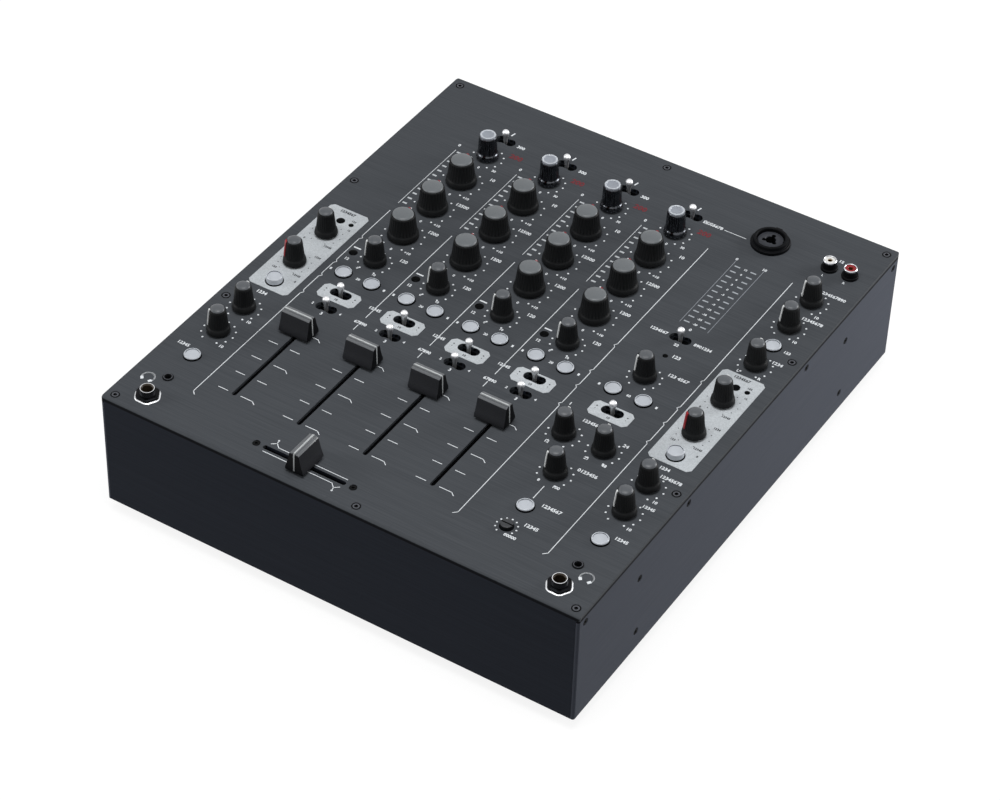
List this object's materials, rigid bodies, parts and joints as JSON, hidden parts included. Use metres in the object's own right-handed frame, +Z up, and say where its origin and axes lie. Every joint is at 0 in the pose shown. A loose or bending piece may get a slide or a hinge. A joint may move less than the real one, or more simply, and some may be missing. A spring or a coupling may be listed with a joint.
{
  "type": "dj mixer",
  "caption": "Tabletop DJ mixer: rotary controls, toggles, buttons, upright channel faders and a crossfader on a folded top panel over a shallow case.",
  "frame": {"origin": "centre of the footprint, on the surface that the feet stand on", "axes": "+X to the user's right, +Y to the back, +Z up"},
  "size_m": [0.32, 0.3836, 0.108],
  "materials": {
    "panel_enamel": "satin anthracite coat on folded steel sheet, finely brushed across",
    "side_enamel": "satin blue-grey coat on steel plate",
    "case_steel": "satin black coat on steel sheet",
    "foot_rubber": "moulded black rubber",
    "black_steel": "blackened steel screws with a worn edge",
    "circuit_board": "green glass-fibre board",
    "power_parts": "potted transformer, capacitors and heatsink",
    "switch_plastic": "moulded switch and potentiometer bodies",
    "fader_steel": "plated steel frames and rails",
    "socket_nickel": "nickel-plated barrels in moulded black bodies",
    "button_plastic": "smooth light-grey buttons",
    "rocker_plastic": "red rocker",
    "fader_plastic": "black fader caps with a pale centre line",
    "lever_nickel": "nickel-plated bat levers",
    "knob_plastic": "ribbed black knobs with grey caps"
  },
  "bodies": {
    "case": {"top_panel": "panel_enamel", "side_plates": "side_enamel", "chassis_tray": "case_steel", "rear_panel": "case_steel", "rubber_feet": "foot_rubber", "case_screws": "black_steel", "circuit_boards": "circuit_board", "power_supply": "power_parts", "control_bodies": "switch_plastic", "fader_bodies": "fader_steel", "panel_sockets": "socket_nickel", "rear_sockets": "socket_nickel"},
    "channel_1_gain_knob": {"channel_1_gain_knob": "knob_plastic"},
    "channel_1_high_knob": {"channel_1_high_knob": "knob_plastic"},
    "channel_1_mid_knob": {"channel_1_mid_knob": "knob_plastic"},
    "channel_1_low_knob": {"channel_1_low_knob": "knob_plastic"},
    "channel_1_send_knob": {"channel_1_send_knob": "knob_plastic"},
    "channel_2_gain_knob": {"channel_2_gain_knob": "knob_plastic"},
    "channel_2_high_knob": {"channel_2_high_knob": "knob_plastic"},
    "channel_2_mid_knob": {"channel_2_mid_knob": "knob_plastic"},
    "channel_2_low_knob": {"channel_2_low_knob": "knob_plastic"},
    "channel_2_send_knob": {"channel_2_send_knob": "knob_plastic"},
    "channel_3_gain_knob": {"channel_3_gain_knob": "knob_plastic"},
    "channel_3_high_knob": {"channel_3_high_knob": "knob_plastic"},
    "channel_3_mid_knob": {"channel_3_mid_knob": "knob_plastic"},
    "channel_3_low_knob": {"channel_3_low_knob": "knob_plastic"},
    "channel_3_send_knob": {"channel_3_send_knob": "knob_plastic"},
    "channel_4_gain_knob": {"channel_4_gain_knob": "knob_plastic"},
    "channel_4_high_knob": {"channel_4_high_knob": "knob_plastic"},
    "channel_4_mid_knob": {"channel_4_mid_knob": "knob_plastic"},
    "channel_4_low_knob": {"channel_4_low_knob": "knob_plastic"},
    "channel_4_send_knob": {"channel_4_send_knob": "knob_plastic"},
    "effects_return_knob": {"effects_return_knob": "knob_plastic"},
    "shape_left_knob": {"shape_left_knob": "knob_plastic"},
    "shape_right_knob": {"shape_right_knob": "knob_plastic"},
    "effects_level_knob": {"effects_level_knob": "knob_plastic"},
    "trimmer": {"trimmer": "knob_plastic"},
    "master_knob": {"master_knob": "knob_plastic"},
    "booth_knob": {"booth_knob": "knob_plastic"},
    "balance_knob": {"balance_knob": "knob_plastic"},
    "filter_right_upper_knob": {"filter_right_upper_knob": "knob_plastic"},
    "filter_right_lower_knob": {"filter_right_lower_knob": "knob_plastic"},
    "phones_right_upper_knob": {"phones_right_upper_knob": "knob_plastic"},
    "phones_right_lower_knob": {"phones_right_lower_knob": "knob_plastic"},
    "filter_left_upper_knob": {"filter_left_upper_knob": "knob_plastic"},
    "filter_left_lower_knob": {"filter_left_lower_knob": "knob_plastic"},
    "phones_left_upper_knob": {"phones_left_upper_knob": "knob_plastic"},
    "phones_left_lower_knob": {"phones_left_lower_knob": "knob_plastic"},
    "channel_1_fader": {"channel_1_fader": "fader_plastic"},
    "channel_2_fader": {"channel_2_fader": "fader_plastic"},
    "channel_3_fader": {"channel_3_fader": "fader_plastic"},
    "channel_4_fader": {"channel_4_fader": "fader_plastic"},
    "crossfader": {"crossfader": "fader_plastic"},
    "channel_1_toggles": {"channel_1_toggles": "lever_nickel"},
    "channel_2_toggles": {"channel_2_toggles": "lever_nickel"},
    "channel_3_toggles": {"channel_3_toggles": "lever_nickel"},
    "channel_4_toggles": {"channel_4_toggles": "lever_nickel"},
    "effects_toggles": {"effects_toggles": "lever_nickel"},
    "push_buttons": {"push_buttons": "button_plastic"},
    "mains_rocker": {"mains_rocker": "rocker_plastic"}
  },
  "joints": [
    {"name": "channel_1_gain_knob_turn", "type": "hinge", "parent": "case", "child": "channel_1_gain_knob", "pos_m": [-0.0982, 0.12215, 0.089], "axis": [0, 0, 1], "range_deg": [-150, 150]},
    {"name": "channel_1_high_knob_turn", "type": "hinge", "parent": "case", "child": "channel_1_high_knob", "pos_m": [-0.0982, 0.09175, 0.089], "axis": [0, 0, 1], "range_deg": [-150, 150]},
    {"name": "channel_1_mid_knob_turn", "type": "hinge", "parent": "case", "child": "channel_1_mid_knob", "pos_m": [-0.0982, 0.05925, 0.089], "axis": [0, 0, 1], "range_deg": [-150, 150]},
    {"name": "channel_1_low_knob_turn", "type": "hinge", "parent": "case", "child": "channel_1_low_knob", "pos_m": [-0.0982, 0.02675, 0.089], "axis": [0, 0, 1], "range_deg": [-150, 150]},
    {"name": "channel_1_send_knob_turn", "type": "hinge", "parent": "case", "child": "channel_1_send_knob", "pos_m": [-0.0982, -0.00365, 0.089], "axis": [0, 0, 1], "range_deg": [-272, 28]},
    {"name": "channel_2_gain_knob_turn", "type": "hinge", "parent": "case", "child": "channel_2_gain_knob", "pos_m": [-0.053, 0.12215, 0.089], "axis": [0, 0, 1], "range_deg": [-150, 150]},
    {"name": "channel_2_high_knob_turn", "type": "hinge", "parent": "case", "child": "channel_2_high_knob", "pos_m": [-0.053, 0.09175, 0.089], "axis": [0, 0, 1], "range_deg": [-150, 150]},
    {"name": "channel_2_mid_knob_turn", "type": "hinge", "parent": "case", "child": "channel_2_mid_knob", "pos_m": [-0.053, 0.05925, 0.089], "axis": [0, 0, 1], "range_deg": [-150, 150]},
    {"name": "channel_2_low_knob_turn", "type": "hinge", "parent": "case", "child": "channel_2_low_knob", "pos_m": [-0.053, 0.02675, 0.089], "axis": [0, 0, 1], "range_deg": [-150, 150]},
    {"name": "channel_2_send_knob_turn", "type": "hinge", "parent": "case", "child": "channel_2_send_knob", "pos_m": [-0.053, -0.00365, 0.089], "axis": [0, 0, 1], "range_deg": [-272, 28]},
    {"name": "channel_3_gain_knob_turn", "type": "hinge", "parent": "case", "child": "channel_3_gain_knob", "pos_m": [-0.0078, 0.12215, 0.089], "axis": [0, 0, 1], "range_deg": [-150, 150]},
    {"name": "channel_3_high_knob_turn", "type": "hinge", "parent": "case", "child": "channel_3_high_knob", "pos_m": [-0.0078, 0.09175, 0.089], "axis": [0, 0, 1], "range_deg": [-150, 150]},
    {"name": "channel_3_mid_knob_turn", "type": "hinge", "parent": "case", "child": "channel_3_mid_knob", "pos_m": [-0.0078, 0.05925, 0.089], "axis": [0, 0, 1], "range_deg": [-150, 150]},
    {"name": "channel_3_low_knob_turn", "type": "hinge", "parent": "case", "child": "channel_3_low_knob", "pos_m": [-0.0078, 0.02675, 0.089], "axis": [0, 0, 1], "range_deg": [-150, 150]},
    {"name": "channel_3_send_knob_turn", "type": "hinge", "parent": "case", "child": "channel_3_send_knob", "pos_m": [-0.0078, -0.00365, 0.089], "axis": [0, 0, 1], "range_deg": [-272, 28]},
    {"name": "channel_4_gain_knob_turn", "type": "hinge", "parent": "case", "child": "channel_4_gain_knob", "pos_m": [0.0374, 0.12215, 0.089], "axis": [0, 0, 1], "range_deg": [-150, 150]},
    {"name": "channel_4_high_knob_turn", "type": "hinge", "parent": "case", "child": "channel_4_high_knob", "pos_m": [0.0374, 0.09175, 0.089], "axis": [0, 0, 1], "range_deg": [-150, 150]},
    {"name": "channel_4_mid_knob_turn", "type": "hinge", "parent": "case", "child": "channel_4_mid_knob", "pos_m": [0.0374, 0.05925, 0.089], "axis": [0, 0, 1], "range_deg": [-150, 150]},
    {"name": "channel_4_low_knob_turn", "type": "hinge", "parent": "case", "child": "channel_4_low_knob", "pos_m": [0.0374, 0.02675, 0.089], "axis": [0, 0, 1], "range_deg": [-150, 150]},
    {"name": "channel_4_send_knob_turn", "type": "hinge", "parent": "case", "child": "channel_4_send_knob", "pos_m": [0.0374, -0.00365, 0.089], "axis": [0, 0, 1], "range_deg": [-272, 28]},
    {"name": "effects_return_knob_turn", "type": "hinge", "parent": "case", "child": "effects_return_knob", "pos_m": [0.0897, -0.00365, 0.089], "axis": [0, 0, 1], "range_deg": [-272, 28]},
    {"name": "shape_left_knob_turn", "type": "hinge", "parent": "case", "child": "shape_left_knob", "pos_m": [0.0766, -0.07165, 0.089], "axis": [0, 0, 1], "range_deg": [-150, 150]},
    {"name": "shape_right_knob_turn", "type": "hinge", "parent": "case", "child": "shape_right_knob", "pos_m": [0.1028, -0.07165, 0.089], "axis": [0, 0, 1], "range_deg": [-150, 150]},
    {"name": "effects_level_knob_turn", "type": "hinge", "parent": "case", "child": "effects_level_knob", "pos_m": [0.0897, -0.10215, 0.089], "axis": [0, 0, 1], "range_deg": [-272, 28]},
    {"name": "trimmer_turn", "type": "hinge", "parent": "case", "child": "trimmer", "pos_m": [0.0897, -0.15295, 0.089], "axis": [0, 0, 1], "range_deg": [-150, 150]},
    {"name": "master_knob_turn", "type": "hinge", "parent": "case", "child": "master_knob", "pos_m": [0.138, 0.11025, 0.089], "axis": [0, 0, 1], "range_deg": [-272, 28]},
    {"name": "booth_knob_turn", "type": "hinge", "parent": "case", "child": "booth_knob", "pos_m": [0.138, 0.08255, 0.089], "axis": [0, 0, 1], "range_deg": [-272, 28]},
    {"name": "balance_knob_turn", "type": "hinge", "parent": "case", "child": "balance_knob", "pos_m": [0.138, 0.04155, 0.089], "axis": [0, 0, 1], "range_deg": [-150, 150]},
    {"name": "filter_right_upper_knob_turn", "type": "hinge", "parent": "case", "child": "filter_right_upper_knob", "pos_m": [0.138, 0.00245, 0.089], "axis": [0, 0, 1], "range_deg": [-150, 150]},
    {"name": "filter_right_lower_knob_turn", "type": "hinge", "parent": "case", "child": "filter_right_lower_knob", "pos_m": [0.138, -0.03075, 0.089], "axis": [0, 0, 1], "range_deg": [-272, 28]},
    {"name": "phones_right_upper_knob_turn", "type": "hinge", "parent": "case", "child": "phones_right_upper_knob", "pos_m": [0.138, -0.08255, 0.089], "axis": [0, 0, 1], "range_deg": [-150, 150]},
    {"name": "phones_right_lower_knob_turn", "type": "hinge", "parent": "case", "child": "phones_right_lower_knob", "pos_m": [0.138, -0.10805, 0.089], "axis": [0, 0, 1], "range_deg": [-272, 28]},
    {"name": "filter_left_upper_knob_turn", "type": "hinge", "parent": "case", "child": "filter_left_upper_knob", "pos_m": [-0.138, 0.00245, 0.089], "axis": [0, 0, 1], "range_deg": [-150, 150]},
    {"name": "filter_left_lower_knob_turn", "type": "hinge", "parent": "case", "child": "filter_left_lower_knob", "pos_m": [-0.138, -0.03075, 0.089], "axis": [0, 0, 1], "range_deg": [-272, 28]},
    {"name": "phones_left_upper_knob_turn", "type": "hinge", "parent": "case", "child": "phones_left_upper_knob", "pos_m": [-0.138, -0.08255, 0.089], "axis": [0, 0, 1], "range_deg": [-150, 150]},
    {"name": "phones_left_lower_knob_turn", "type": "hinge", "parent": "case", "child": "phones_left_lower_knob", "pos_m": [-0.138, -0.10805, 0.089], "axis": [0, 0, 1], "range_deg": [-272, 28]},
    {"name": "channel_1_fader_slide", "type": "slide", "parent": "case", "child": "channel_1_fader", "axis": [0, -1, 0], "range_m": [0, 0.06]},
    {"name": "channel_2_fader_slide", "type": "slide", "parent": "case", "child": "channel_2_fader", "axis": [0, -1, 0], "range_m": [0, 0.06]},
    {"name": "channel_3_fader_slide", "type": "slide", "parent": "case", "child": "channel_3_fader", "axis": [0, -1, 0], "range_m": [0, 0.06]},
    {"name": "channel_4_fader_slide", "type": "slide", "parent": "case", "child": "channel_4_fader", "axis": [0, -1, 0], "range_m": [0, 0.06]},
    {"name": "crossfader_slide", "type": "slide", "parent": "case", "child": "crossfader", "axis": [1, 0, 0], "range_m": [-0.0225, 0.0225]},
    {"name": "channel_1_toggles_tilt", "type": "hinge", "parent": "case", "child": "channel_1_toggles", "pos_m": [-0.0982, -0.03985, 0.081], "axis": [0, 1, 0], "range_deg": [-14, 14]},
    {"name": "channel_2_toggles_tilt", "type": "hinge", "parent": "case", "child": "channel_2_toggles", "pos_m": [-0.053, -0.03985, 0.081], "axis": [0, 1, 0], "range_deg": [-14, 14]},
    {"name": "channel_3_toggles_tilt", "type": "hinge", "parent": "case", "child": "channel_3_toggles", "pos_m": [-0.0078, -0.03985, 0.081], "axis": [0, 1, 0], "range_deg": [-14, 14]},
    {"name": "channel_4_toggles_tilt", "type": "hinge", "parent": "case", "child": "channel_4_toggles", "pos_m": [0.0374, -0.03985, 0.081], "axis": [0, 1, 0], "range_deg": [-14, 14]},
    {"name": "effects_toggles_tilt", "type": "hinge", "parent": "case", "child": "effects_toggles", "pos_m": [0.0897, -0.03985, 0.081], "axis": [0, 1, 0], "range_deg": [-14, 14]},
    {"name": "push_buttons_press", "type": "slide", "parent": "case", "child": "push_buttons", "axis": [0, 0, -1], "range_m": [0, 0.0012], "stiffness_N_per_m": 1500, "springref_m": -0.0006},
    {"name": "mains_rocker_tilt", "type": "hinge", "parent": "case", "child": "mains_rocker", "pos_m": [0.123, 0.18025, 0.067], "axis": [1, 0, 0], "range_deg": [-16, 0]}
  ]
}
